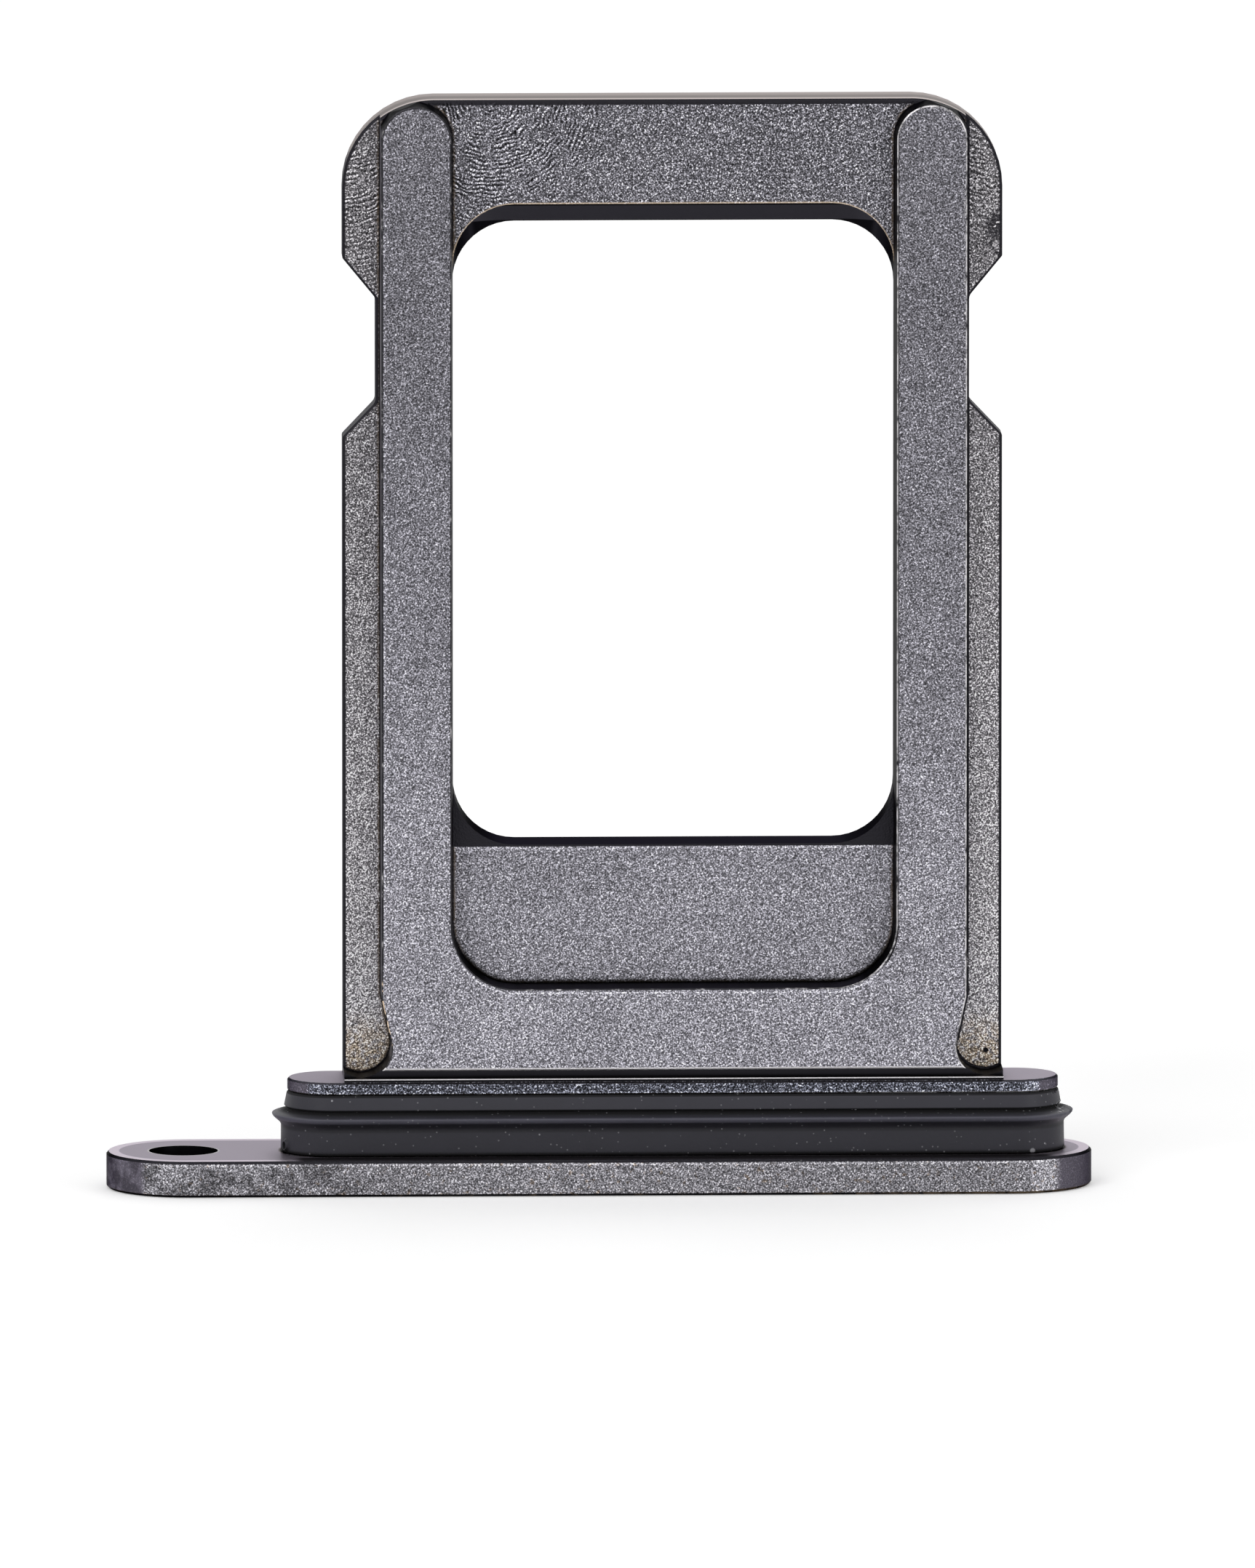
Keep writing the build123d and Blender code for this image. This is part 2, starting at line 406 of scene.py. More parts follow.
def place_in_mm(w):
    """The point on the piece in millimetres, its three parts, and the face's direction in three parts."""
    coordinates = w.put("TexCoord", {})
    position = w.scaled(coordinates["Object"], 1 / MM)
    return position, w.parts(position), w.parts(coordinates["Normal"])


class SteelPlaces:
    """Where a point of the tray lies, how its face looks, and the heights and depths that its finishes follow.

    Lengths are in millimetres. Forwards, backwards, upwards and downwards are 1 on faces that look that way, and
    the slants are 1 on edges that were broken at half a right angle.
    """

    def __init__(self, w, sizes, place, facing):
        self.x, self.y, self.z = place["X"], place["Y"], place["Z"]
        self.plate_top = sizes.plate_top / MM
        self.flange_low = sizes.flange_low / MM
        self.flange_top = self.flange_low + sizes.flange_thick / MM
        self.tip = sizes.blade_top / MM
        self.half_thick = sizes.blade_thick / MM / 2
        self.rail_face = sizes.rail_face / MM
        self.channel_face = sizes.channel_face / MM

        self.facing_x, self.facing_z = facing["X"], facing["Z"]
        self.forwards = w.step(facing["Y"], -0.80, -0.95)
        self.backwards = w.step(facing["Y"], 0.80, 0.95)
        self.upwards = w.step(facing["Z"], 0.80, 0.95)
        self.downwards = w.step(facing["Z"], -0.80, -0.95)
        self.slant_y = w.near(w.math("ABSOLUTE", facing["Y"]), 0.707, 0.14)
        self.slant_z = w.near(w.math("ABSOLUTE", facing["Z"]), 0.707, 0.14)
        self.sideways = w.math("ABSOLUTE", facing["X"])

        self.blade = w.step(self.z, self.flange_top - 0.01, self.flange_top + 0.01)
        self.base = w.invert(self.blade)
        self.middle = sizes.blade_middle / MM
        self.across = w.minus(self.x, self.middle)
        self.off_middle = w.math("ABSOLUTE", self.across)
        self.at_front = w.near(self.y, -self.half_thick)
        self.at_channel = w.near(self.y, self.channel_face)
        self.at_rail = w.near(self.y, self.rail_face)


def blade_zones(w, at):
    """Masks of the blade's faces, walls and broken edges. Each is 1 on its own surface."""
    y, z, tip = at.y, at.z, at.tip
    above = w.minus(z, at.flange_top)
    edge_at_front = w.near(y, 0.01 - at.half_thick)
    zones = {
        "land": w.times(at.forwards, at.blade, at.at_front),
        "channel": w.times(at.forwards, at.blade, at.at_channel),
        "rail": w.times(at.forwards, at.blade, at.at_rail),
        "relief": w.times(at.forwards, w.near(y, 0.21 - at.half_thick), w.step(above, 0.30, 0.25)),
        "sill": w.times(at.forwards, at.blade, at.at_front, w.step(above, 0.10, 0.07)),
        "sill_line": w.times(at.forwards, at.at_front, w.window(above, 0.042, 0.075, 0.004)),
        "foot_line": w.times(at.forwards, at.at_front, w.window(above, 0.20, 0.225, 0.01)),
        "land_edge": w.times(at.slant_y, at.blade, edge_at_front),
        "foot_edge": w.times(at.slant_y, at.blade, edge_at_front, w.step(above, 0.25, 0.23)),
        "rail_edge": w.times(at.slant_y, at.blade, w.near(y, at.rail_face + 0.01)),
        "back_edge": w.times(at.slant_y, at.blade, w.near(y, at.half_thick - 0.01)),
        "tip_edge": w.times(at.slant_y, w.step(z, tip - 1.6, tip - 1.5), w.near(y, at.channel_face + 0.02)),
        "tip_end": w.times(
            w.step(z, tip - 1.6, tip - 1.3),
            w.step(at.facing_z, 0.15, 0.45),
            w.step(y, at.channel_face + 0.02, at.channel_face + 0.05),
            w.invert(at.slant_y),
        ),
        "ramp": w.times(
            at.slant_y, w.window(y, at.channel_face, 0.01, 0.03), w.step(z, tip - 1.2, tip - 1.4), at.blade
        ),
        "land_wall": w.times(
            w.step(at.sideways, 0.90, 0.98),
            w.window(y, 0.04 - at.half_thick, at.rail_face - 0.06, 0.01),
            w.step(at.off_middle, 4.3, 4.4),
            at.blade,
        ),
        "low_wall": w.times(
            at.upwards,
            w.window(y, 0.03 - at.half_thick, at.channel_face - 0.03, 0.01),
            at.blade,
            w.step(at.off_middle, 3.70, 3.60),
        ),
    }
    zones["blade_side"] = w.times(
        w.step(at.sideways, 0.50, 0.60),
        w.window(y, at.rail_face + 0.04, at.half_thick - 0.04, 0.01),
        w.step(at.off_middle, 4.60, 4.70),
        w.invert(zones["tip_end"]),
        at.blade,
    )
    faces = w.largest(at.forwards, at.backwards, zones["tip_end"])
    edges = w.largest(zones["land_edge"], zones["rail_edge"], zones["back_edge"], zones["tip_edge"])
    zones["wall"] = w.times(at.blade, w.invert(w.largest(faces, edges)))
    return zones


def base_zones(w, at):
    """Masks of the face plate, the flange and the eject hole. Each is 1 on its own surface."""
    x, y, z = at.x, at.y, at.z
    on_flange = w.step(z, at.flange_low - 0.05, at.flange_low)
    hole_radius = w.length(w.minus(x, MOUNTS["eject_hole"].x / MM), y)
    upright = w.times(w.invert(at.upwards), w.invert(at.downwards))
    zones = {
        "ledge": w.times(at.upwards, at.base),
        "end_ledge": w.times(at.upwards, w.near(z, at.flange_top, 0.05), w.step(at.off_middle, 5.20, 5.26)),
        "flange_side": w.times(at.base, on_flange, w.invert(at.upwards)),
        "plate_side": w.times(w.step(z, at.plate_top + 0.02, at.plate_top), upright),
        "outer_face": w.times(at.downwards, w.step(z, 0.10, 0.05)),
        "bore": w.times(w.step(hole_radius, 0.68, 0.66), upright, at.base),
        "bore_rim": w.times(w.near(hole_radius, 0.555, 0.03), at.upwards, at.base),
        "flange_top_edge": w.times(at.slant_z, at.base, w.near(z, at.flange_top - 0.015, 0.05)),
        "flange_low_edge": w.times(at.slant_z, at.base, w.near(z, at.flange_low + 0.010, 0.05)),
        "plate_top_edge": w.times(at.slant_z, at.base, w.near(z, at.plate_top - 0.02)),
        "plate_low_edge": w.times(at.slant_z, at.base, w.near(z, 0.02)),
        "flange_low_line": w.times(at.forwards, at.base, w.window(z, at.flange_low, at.flange_low + 0.040, 0.01)),
        "plate_line": w.times(at.forwards, w.window(z, at.plate_top - 0.078, at.plate_top - 0.054, 0.006)),
        "round_end": w.times(at.base, w.step(at.sideways, 0.50, 0.62)),
        "end_glint": w.times(at.base, w.near(at.facing_x, 0.40, 0.20)),
        "flange_glint": w.times(at.base, w.near(at.sideways, 0.40, 0.18), on_flange),
    }
    zones["ledge_line"] = w.times(zones["ledge"], w.window(plate_inset(w, x, y), 0.05, 0.19, 0.03))
    # Painted shade and painted reflection of the seal on the plate's top in front of it
    zones["ledge_front"] = w.times(
        zones["ledge"],
        w.step(z, at.plate_top + 0.1, at.plate_top + 0.05),
        w.step(at.off_middle, 6.10, 5.90),
        w.step(y, -0.85, -0.90),
    )
    return zones


def line_zones(w, at, zones):
    """Masks of the thin lines, rims and glints that run along the blade's outlines. The dark lines are painted
    shade, the glints and the window's rim are painted highlights, and the strip's rim is wear.
    """
    z, tip, off_middle = at.z, at.tip, at.off_middle
    land, channel, rail = zones.land, zones.channel, zones.rail
    on_right = w.step(at.across, -0.1, 0.1)
    on_left = w.invert(on_right)
    high = w.step(z, 3.4, 3.7)
    low_end = w.step(z, 4.1, 3.6)

    from_outline = blade_inset(w, off_middle, z, tip)
    from_edge = strip_inset(w, off_middle, z, tip)
    from_channel = channel_distance(w, off_middle, z)
    from_window = window_distance(w, off_middle, z, tip)
    from_flare = flare_inset(w, off_middle, z, at.flange_top)
    flare_width = w.passage(z, 3.0, 3.2, 0.095, 0.076)
    flare_width = w.passage(z, 2.15, 2.35, 0.030, flare_width)
    in_flare = w.step(w.minus(from_flare, flare_width), 0.007, -0.007)
    outer = w.times(land, w.step(off_middle, 4.0, 4.1), high)
    low_channel = w.times(channel, w.step(z, 7.0, 6.9))
    return {
        "outline": w.times(w.largest(rail, channel), w.step(from_outline, 0.060, 0.038)),
        "ramp_line": w.largest(w.window(z, tip - 1.688, tip - 1.64, 0.008), w.step(z, tip - 1.94, tip - 1.95)),
        "tip_line": w.times(channel, w.step(z, tip - 0.088, tip - 0.078)),
        "strip_rim": w.times(outer, on_right, w.step(from_edge, 0.060, 0.035)),
        "left_line": w.times(outer, on_left, w.window(from_edge, 0.018, 0.028, 0.005)),
        "left_glint": w.times(outer, on_left, w.window(from_edge, 0.040, 0.070, 0.010)),
        "right_line": w.times(rail, on_right, w.step(off_middle, 4.732, 4.720), high),
        "flare_line": w.times(rail, on_right, in_flare, w.step(z, 3.7, 3.4)),
        "channel_line": w.times(land, w.step(from_channel, 0.036, 0.030), on_right, high),
        "channel_glint": w.times(land, w.window(from_channel, 0.018, 0.036, 0.006), low_end),
        "low_corner": w.times(channel, w.step(from_channel, -0.185, -0.085), low_end),
        "tongue_line": w.times(low_channel, w.step(z, 5.468, 5.478)),
        "tongue_glint": w.times(low_channel, w.window(z, 5.432, 5.460, 0.008)),
        "window_rim": w.times(channel, w.step(from_window, 0.030, 0.014), w.step(z, tip - 2.8, tip - 2.7)),
    }


def blade_inset(w, off_middle, z, tip):
    """How far a point lies inside the blade's outline, which has round top corners and a notch in each side.

    Beside the notch the outline lies deeper by a trapezoid of the height, with a slope above and one below.
    """
    half, corner = 5.245, 1.45
    notch_low, notch_high, low_slope, high_slope, depth = tip - 5.43, tip - 2.57, 0.55, 0.64, 0.525
    inset = w.minus(corner, w.length(w.past(off_middle, half - corner), w.past(z, tip - corner)))
    rise = w.ramp(z, notch_low, notch_low + low_slope)
    fall = w.ramp(z, notch_high, notch_high - high_slope)
    return w.minus(inset, w.times(rise, fall, depth))


def strip_inset(w, off_middle, z, tip):
    """How far a point lies inside a strip beside the channel, which has a round tip."""
    radius, strip_middle, round_from = 0.555, 4.095, tip - 0.615
    over = w.minus(off_middle, strip_middle)
    return w.minus(radius, w.length(over, w.past(z, round_from)))


def flare_inset(w, off_middle, z, flange_top):
    """How far a point of a rail lies from the land beside it, near the rail's round lower end.

    Up to the touching point it's measured from the round end. Above that it's the larger of two distances, from
    the slanted line that touches the round end and from the land's straight side.
    """
    radius, end_x, end_z, lean = 0.486, 4.976, flange_top + 0.553, math.radians(168.0)
    land_side = end_x - 0.326
    over, up = w.minus(off_middle, end_x), w.minus(z, end_z)
    along = w.plus(w.times(over, math.cos(lean)), w.times(up, math.sin(lean)))
    round_end = w.minus(radius, w.length(over, up))
    slanted = w.minus(radius, along)
    straight = w.minus(off_middle, land_side)
    return w.passage(up, 0.09, 0.11, round_end, w.largest(slanted, straight))


def channel_distance(w, off_middle, z):
    """How far a point lies outside the channel, which has round lower corners. Inside, it's below 0."""
    half, low, corner = 3.54, 3.205, 1.02
    down = w.largest(w.minus(low + corner, z), 0.0)
    return w.minus(w.length(w.past(off_middle, half - corner), down), corner)


def plate_inset(w, x, y):
    """How far a point lies inside the face plate's outline, which has round ends."""
    radius, run = 1.295, 6.555
    return w.minus(radius, w.length(w.past(w.math("ABSOLUTE", x), run), y))


def window_distance(w, off_middle, z, tip):
    """How far a point above the window lies from the edge of the window's ramp, which has round corners."""
    half, top, corner = 3.505, tip - 1.665, 1.0
    return w.minus(w.length(w.past(off_middle, half - corner), w.past(z, top - corner)), corner)


class SteelPatterns:
    """The patterns that vary over the steel: grain, mill marks, drifts of tone, and wear along edges."""

    def __init__(self, w, at, zones, position, finish):
        grain_size, pitch = finish.grain_size / MM, finish.mill_pitch / MM
        self.grain = w.group(shared_group(blasted_grain), position=position, size=grain_size, contrast=7.4)
        self.drift = w.noise(position, 0.55, 3.0, 0.6)
        self.blotches = w.noise(position, 3.0, 3.0, 0.6)
        self.flecks = w.noise(position, 11.0, 2.0, 0.6)

        def rings(over, above, spacing, reach):
            """Rings round a centre, given from the blade's middle and above its tip."""
            centre = {"centre_x": at.middle + over, "centre_z": at.tip + above}
            ripple = w.group(shared_group(mill_rings), position=position, pitch=spacing, reach=reach, **centre)
            return ripple["Ripple"]

        left, right = rings(-5.55, 0.9, pitch, 5.0), rings(5.60, 1.2, pitch, 4.5)
        entry, fan = rings(-2.9, 0.0, pitch * 0.9, 2.3), rings(1.6, 1.2, pitch * 1.2, 3.6)
        on_rail = w.times(zones.rail, w.passage(at.across, -0.1, 0.1, left, right))
        comb = w.math("MULTIPLY_ADD", w.window(at.z, at.tip - 1.9, at.tip - 1.1, 0.4), 0.6, 1.1)
        arcs = w.plus(w.times(entry, 2.0), w.times(fan, 0.7))
        self.ripple = w.plus(w.times(on_rail, comb), w.times(zones.channel, arcs))

        cover = w.passage(at.across, 1.0, 4.0, 0.26, 0.46)
        self.wear = w.group(shared_group(worn_edge), position=position, cover=cover)["Wear"]
        self.nicks = w.group(shared_group(worn_edge), position=position, cover=0.16)["Wear"]
        least = w.passage(at.z, 13.5, 14.8, 0.64, 0.50)
        self.dashes = w.step(w.noise(position, 7.0, 3.0, 0.7), least, 0.68)


def surface_colour(w, at, zones, patterns, finish):
    """The steel's colour on its faces, before the inner corners and the edges."""
    drift, blotches, flecks = patterns.drift, patterns.blotches, patterns.flecks
    colour = w.scaled(tuple(finish.body_colour), w.passage(drift, 0.35, 0.65, 0.93, 1.07))
    for mask, tone in (
        (zones.rail, finish.rail_colour),
        (zones.plate_side, finish.side_colour),
        (w.times(zones.plate_side, w.step(flecks, 0.60, 0.72), 0.7), finish.tint_colour),
        (zones.flange_side, finish.flange_colour),
        (w.times(zones.round_end, w.invert(zones.outer_face)), finish.end_colour),
        # Painted light from above lightens the upward faces
        (zones.ledge, finish.top_colour),
        # Painted light: the blade's end, which faces up, is light
        (zones.tip_end, finish.tip_colour),
        # Painted shade: the relief groove's floor is near-black
        (zones.relief, scaled_colour(finish.shade_and_mark_colour, 0.9)),
    ):
        colour = w.blend(mask, colour, tone)

    # Painted shade darkens the blade towards its tip; the plate's side is darker in patches towards its left end,
    # lighter at its far left end and a little darker towards its right
    shade = w.passage(at.z, -2.0, at.tip - 2.4, 1.12, finish.tip_shade)
    channel_tone = w.passage(at.z, at.tip - 2.2, at.tip - 1.6, 0.91, 0.88)
    patchy = w.times(zones.plate_side, w.step(at.x, -2.0, -5.0), w.step(blotches, 0.60, 0.40))
    by_side = w.minus(w.times(w.step(at.x, -6.6, -7.4), 0.35), w.times(w.step(at.x, 1.0, 6.0), 0.12))
    for factor in (
        w.blend_value(w.invert(zones.tip_end), 1.0, shade),
        w.blend_value(zones.channel, 1.0, channel_tone),
        w.math("MULTIPLY_ADD", patterns.ripple, 0.85, 1.0),
        w.math("MULTIPLY_ADD", patchy, -0.50, 1.0),
        w.math("MULTIPLY_ADD", zones.plate_side, by_side, 1.0),
    ):
        colour = w.scaled(colour, factor)

    # Gold tint at the rails' round ends
    gold = w.times(zones.rail, w.step(at.z, 2.9, 2.1), w.step(flecks, 0.30, 0.60), 0.9)
    return w.blend(gold, colour, finish.gold_colour)


def smooth_surfaces(w, zones):
    """1 on the surfaces that weren't blasted."""
    smooth = w.largest(zones.wall, zones.ledge, zones.outer_face, zones.tip_end, zones.relief)
    return w.largest(smooth, w.times(zones.round_end, 0.8), zones.bore)


def speckled(w, at, zones, patterns, smooth, colour):
    """The speckle of the blasting, stronger on the flange, the rails and the upper channel, and a painted highlight
    in patches where the round ends begin to turn.
    """
    fleck = patterns.grain["Fleck"]
    colour = w.scaled(colour, w.blend_value(smooth, fleck, 1.0))
    rough = w.plus(w.times(zones.flange_side, 0.55), w.times(zones.rail, 0.30))
    rough = w.plus(rough, w.times(zones.channel, w.step(at.z, 7.0, 9.0), 0.30))
    colour = w.scaled(colour, w.blend_value(w.times(rough, w.invert(smooth)), 1.0, fleck))
    # Painted highlight where the round ends begin to turn: at the right end, and at both of the flange's ends
    glint = w.plus(zones.end_glint, w.times(zones.flange_glint, 2.0))
    return w.scaled(colour, w.math("MULTIPLY_ADD", w.times(glint, patterns.blotches), 0.9, 1.0))


def marked(w, at, zones, patterns, finish, colour):
    """The chipped patch beside the right notch, and a few black spots."""
    x, y, z, tip = at.x, at.y, at.z, at.tip
    patch = w.times(zones.rail, w.step(at.across, 4.85, 5.10), w.window(z, tip - 2.85, tip - 1.95, 0.25))
    chipped = w.times(patch, w.step(patterns.blotches, 0.40, 0.50))
    colour = w.blend(w.times(chipped, 0.85), colour, finish.shade_and_mark_colour)
    colour = w.blend(w.times(chipped, w.step(patterns.flecks, 0.58, 0.64)), colour, finish.wear_and_highlight_colour)
    spots = w.times(zones.rail, w.spot(x, z, (6.17, 2.11), 0.055))
    for place_x, radius in ((-4.95, 0.030), (-4.82, 0.020), (-4.63, 0.026)):
        spots = w.largest(spots, w.times(zones.ledge, w.spot(x, y, (place_x, -0.55), radius)))
    return w.blend(spots, colour, scaled_colour(finish.shade_and_mark_colour, 0.4))


def sheltered(w, zones, patterns, finish, colour):
    """Brown tint in patches in the inner corners, and black painted shade in the deepest of them."""
    open_share = w.shelter(0.075 * MM)
    tinted = w.times(w.step(patterns.blotches, 0.2, 0.6), w.invert(zones.relief))
    hidden = w.times(w.step(open_share, 0.94, 0.72), tinted)
    colour = w.blend(w.times(hidden, 0.85), colour, finish.tint_colour)
    return w.blend(w.step(open_share, 0.74, 0.62), colour, scaled_colour(finish.shade_and_mark_colour, 0.5))


def with_lines(w, at, zones, patterns, finish, colour):
    """Painted highlights and painted shade beside the outlines, on the broken edges and on the walls, with the wear
    along the edges and the outer face's own colour.
    """
    colours = (finish.body_colour, finish.wear_and_highlight_colour, finish.shade_and_mark_colour, finish.gold_colour)
    body, wear_and_highlight, dark, gold = (partial(scaled_colour, each) for each in colours)
    across, y, z = at.across, at.y, at.z
    wear, nicks = patterns.wear, patterns.nicks
    # Painted highlight along the front of the blade's end and painted shade across its middle
    tip_highlight_and_shade = w.minus(1.42, w.times(w.step(y, -0.14, 0.02), 0.82))
    tip_highlight_and_shade = w.plus(tip_highlight_and_shade, w.times(w.step(y, 0.15, 0.50), 0.35))
    # Painted highlights brighten the glints and the pale lines along the flange's lower edge, below the plate's top
    # edge and round the plate's top; painted shade darkens the channel's low corner and the plate's top in front of
    # the seal
    for mask, factor in (
        (zones.tip_end, tip_highlight_and_shade),
        (zones.low_corner, 0.05),
        (zones.left_glint, 1.35),
        (zones.channel_glint, 1.90),
        (zones.tongue_glint, 1.60),
        (zones.flange_low_line, 1.70),
        (zones.plate_line, 1.75),
        (zones.ledge_line, 1.70),
        (zones.ledge_front, 0.18),
    ):
        colour = w.scaled(colour, w.blend_value(mask, 1.0, factor))

    side_lines = w.largest(zones.left_line, zones.right_line, zones.channel_line)
    gilt = w.times(w.step(across, -3.0, -4.0), w.window(z, 2.4, 3.3, 0.1), w.step(patterns.flecks, 0.46, 0.54))
    # The ledges at the flange's ends take the upward faces' colour with its painted light, a little darker on the
    # left
    end_tone = w.scaled(tuple(finish.top_colour), w.passage(across, -1.0, 1.0, 0.85, 0.95))
    # Painted shade darkens the lines beside the outlines, the broken edges of the land, the rails, the tip, the
    # flange's top and the plate's top, the sill, the walls, the ramp and the eject hole's inside. Painted
    # highlights make the gold rim at the window and the pale lines along the blade's foot and the sill. The patchy
    # bare steel, the gilt flecks and the nicks are wear.
    for mask, tone in (
        (w.times(zones.strip_rim, patterns.dashes), wear_and_highlight(1.0)),
        (w.times(zones.window_rim, 0.7), gold(1.5)),
        (w.largest(zones.outline, zones.tip_line), dark(1.0)),
        (side_lines, dark(0.8)),
        (w.largest(zones.tongue_line, zones.flare_line), dark(1.0)),
        (zones.land_edge, body(0.16)),
        (w.times(zones.land_edge, wear), wear_and_highlight(1.0)),
        (w.times(zones.land_edge, gilt), gold(2.2)),
        (zones.foot_edge, wear_and_highlight(0.9)),
        (w.times(zones.foot_line, 0.8), wear_and_highlight(0.9)),
        (zones.sill, dark(0.4)),
        (zones.sill_line, wear_and_highlight(0.9)),
        (zones.rail_edge, dark(1.0)),
        (zones.tip_edge, dark(1.0)),
        (zones.back_edge, body(0.8)),
        (w.times(zones.back_edge, wear), wear_and_highlight(1.0)),
        (zones.flange_top_edge, dark(2.0)),
        (w.times(zones.flange_top_edge, nicks), wear_and_highlight(0.7)),
        (w.times(zones.flange_low_edge, wear), wear_and_highlight(1.0)),
        (zones.plate_top_edge, dark(1.0)),
        (w.times(zones.plate_top_edge, nicks), wear_and_highlight(1.0)),
        (w.times(zones.plate_low_edge, wear), finish.tint_colour),
        (zones.wall, dark(1.0)),
        (zones.low_wall, dark(3.2)),
        (zones.end_ledge, end_tone),
        (zones.land_wall, body(0.95)),
        (zones.blade_side, body(0.42)),
        (zones.ramp, dark(2.5)),
        (w.times(zones.ramp, zones.ramp_line), dark(0.5)),
        (zones.bore, dark(0.4)),
        (zones.bore_rim, wear_and_highlight(1.0)),
        (zones.outer_face, finish.outer_colour),
    ):
        colour = w.blend(mask, colour, tone)
    return colour


def steel_material(sizes, finish):
    """The tray's steel. Each surface has its own finish, with painted shade on the walls, the broken edges, the
    deep corners and the dark lines, and painted light on the upward faces, the blade's end and the glints; all
    share the blasted grain and the wear along edges.
    """
    material, w, shader = new_material("tray_steel")
    position, place, facing = place_in_mm(w)
    at = SteelPlaces(w, sizes, place, facing)
    zones = SimpleNamespace(**blade_zones(w, at), **base_zones(w, at))
    vars(zones).update(line_zones(w, at, zones))
    patterns = SteelPatterns(w, at, zones, position, finish)
    smooth = smooth_surfaces(w, zones)

    colour = surface_colour(w, at, zones, patterns, finish)
    colour = speckled(w, at, zones, patterns, smooth, colour)
    colour = marked(w, at, zones, patterns, finish, colour)
    colour = sheltered(w, zones, patterns, finish, colour)
    colour = with_lines(w, at, zones, patterns, finish, colour)
    w.feed(shader.inputs["Base Color"], colour)
    shader.inputs["Metallic"].default_value = 1.0
    shader.inputs["Specular Tint"].default_value = (0.30, 0.30, 0.30, 1.0)
    roughness = w.blend_value(smooth, w.blend_value(patterns.blotches, 0.40, 0.56), 0.34)
    w.feed(shader.inputs["Roughness"], roughness)

    # Relief: dimples on the blasted surfaces and rings where the cutter ran
    dimples = w.times(patterns.grain["Height"], w.invert(smooth), 0.6)
    height = w.plus(dimples, w.times(patterns.ripple, 0.9))
    w.feed(shader.inputs["Normal"], w.bumped(height, 0.7, 0.010 * MM))
    return material


def rubber_material(settings):
    """Smooth dark rubber, a little lighter on its upper band, with a painted highlight on its crest, painted shade
    under the ridge, in the crease, in the groove and along the top edge, fine dust and a frayed patch at one end.
    """
    material, w, shader = new_material("seal_rubber")
    position, place, _ = place_in_mm(w)
    x, y, z = place["X"], place["Y"], place["Z"]
    crest, top = (SEAL_LOW.z + settings.ridge_height) / MM, SEAL_HIGH.z / MM
    drift = w.noise(position, 1.5, 4.0, 0.6)
    colour = w.blend(drift, scaled_colour(settings.colour, 0.85), scaled_colour(settings.colour, 1.2))

    # A little lighter on the upper band, painted shade under the ridge and a painted highlight on the crest
    upper_band = w.times(w.step(z, crest + 0.12, crest + 0.16), 0.14)
    under_ridge_shade = w.times(w.window(z, crest - 0.20, crest - 0.08, 0.04), 0.45)
    crest_highlight = w.times(w.near(z, crest - 0.025, 0.055), 1.7)
    by_height = w.minus(w.plus(upper_band, 1.05), under_ridge_shade)
    colour = w.scaled(colour, w.plus(by_height, crest_highlight))

    # Painted shade in the crease, in the groove and along the top edge under the flange
    crease = w.step(w.shelter(0.12 * MM), 0.92, 0.70)
    in_groove = w.near(z, crest + settings.groove_rise / MM, 0.055)
    top_edge = w.step(z, top - 0.050, top - 0.035)
    hollow_shade = w.largest(crease, w.times(in_groove, 0.7), w.times(top_edge, 0.85))
    colour = w.blend(hollow_shade, colour, scaled_colour(settings.colour, 0.12))

    specks = shared_group(dust_specks)
    fine = w.group(specks, position=position, scale=11.0, size=0.20, share=0.40)["Specks"]
    coarse = w.group(specks, position=position, scale=3.0, size=0.07, share=0.22)["Specks"]
    frayed = w.times(w.spot(x, z, (7.34, 1.27), 0.09), w.step(w.noise(position, 14.0), 0.54, 0.60))
    dab = w.times(w.spot(x, z, (6.88, 0.62), 0.05), w.step(y, 0.0, -0.2))
    dust = w.largest(w.times(fine, 0.30), w.times(coarse, 0.8), frayed, w.times(dab, 0.6))
    w.feed(shader.inputs["Base Color"], w.blend(dust, colour, settings.dust_colour))
    w.feed(shader.inputs["Roughness"], w.blend_value(hollow_shade, w.blend_value(drift, 0.40, 0.56), 0.9))
    shader.inputs["Specular IOR Level"].default_value = 0.28
    w.feed(shader.inputs["Normal"], w.bumped(w.noise(position, 18.0, 3.0, 0.6), 0.35, 0.006 * MM))
    return material


# Shapes


def slot_outline(run, straight_steps, end_steps, fine_middle, fine_reach):
    """Feet and turn angles round a slot: two straight runs joined by two half circles.

    A point of the outline is its foot on the slot's middle line plus a radius times the direction of its angle.
    The angle goes once round, and waits at -90 and 90 degrees while the foot slides along the straight runs.
    The steps of the second half circle are finer round one angle.
    """
    slide = np.linspace(-run, run, straight_steps, endpoint=False)
    swing = np.linspace(-math.pi / 2, math.pi / 2, end_steps, endpoint=False)
    fine = np.linspace(fine_middle - fine_reach, fine_middle + fine_reach, 40)
    second = np.unique(np.concatenate([swing + math.pi, fine]))
    wait = np.full(straight_steps, math.pi / 2)
    angle = np.concatenate([-wait, swing, wait, second])
    foot = np.concatenate([slide, np.full(end_steps, run), -slide, np.full(len(second), -run)])
    feet = np.stack([foot, np.zeros_like(foot)], axis=1)
    return feet, angle[:, None]


def smooth_rise(value):
    """0 up to 0 and 1 from 1 on, with a cosine between."""
    return 0.5 - 0.5 * np.cos(math.pi * np.clip(value, 0.0, 1.0))


